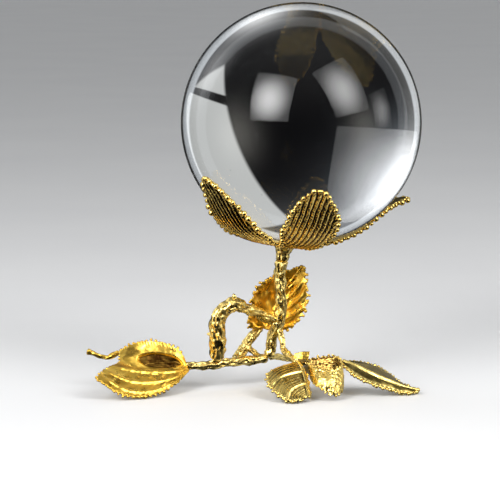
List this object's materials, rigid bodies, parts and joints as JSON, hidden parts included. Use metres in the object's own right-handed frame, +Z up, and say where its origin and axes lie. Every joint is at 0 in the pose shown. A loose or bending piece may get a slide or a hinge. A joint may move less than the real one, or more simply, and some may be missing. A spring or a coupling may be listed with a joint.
{
  "type": "crystal ball on leaf stand",
  "caption": "Solid clear glass ball resting in curled, ribbed gilt leaves on top of a gilt branch stand whose lowest leaves are its feet.",
  "frame": {"origin": "middle of the bounding box at the table the leaves stand on", "axes": "+Z up from the table to the top of the ball; +Y from the front leaves to the rear leaf; +X from the left leaf to the right leaf"},
  "size_m": [0.1126, 0.0866, 0.1295],
  "materials": {
    "crystal": "polished, clear and colourless",
    "gilt_leaf": "bright gold plate, polished between raised veins",
    "gilt_ribbed_leaf": "bright gold plate over close raised ribs",
    "gilt_bark": "bright gold plate over knobbly cast bark"
  },
  "bodies": {
    "stand": {"main_stem": "gilt_bark", "calyx_knob": "gilt_bark", "ground_runner": "gilt_bark", "arch_twig": "gilt_bark", "upright_leaf_stalk": "gilt_bark", "root_fork": "gilt_bark", "front_leaf_stalk": "gilt_bark", "right_leaf_stalk": "gilt_bark", "rear_leaf_stalk": "gilt_bark", "upright_leaf": "gilt_ribbed_leaf", "left_ground_leaf": "gilt_leaf", "front_ground_leaf": "gilt_leaf", "front_rolled_leaf": "gilt_leaf", "front_stipule": "gilt_leaf", "right_ground_leaf": "gilt_leaf", "rear_ground_leaf": "gilt_leaf", "cradle_leaf_front": "gilt_ribbed_leaf", "cradle_leaf_left": "gilt_ribbed_leaf", "cradle_leaf_right": "gilt_ribbed_leaf", "cradle_leaf_back": "gilt_ribbed_leaf", "left_leaf_tendril": "gilt_leaf"},
    "ball": {"crystal_ball": "crystal"}
  },
  "joints": [
    {"name": "ball_lift", "type": "slide", "parent": "stand", "child": "ball", "axis": [0, 0, 1], "range_m": [0, 0.06]}
  ]
}
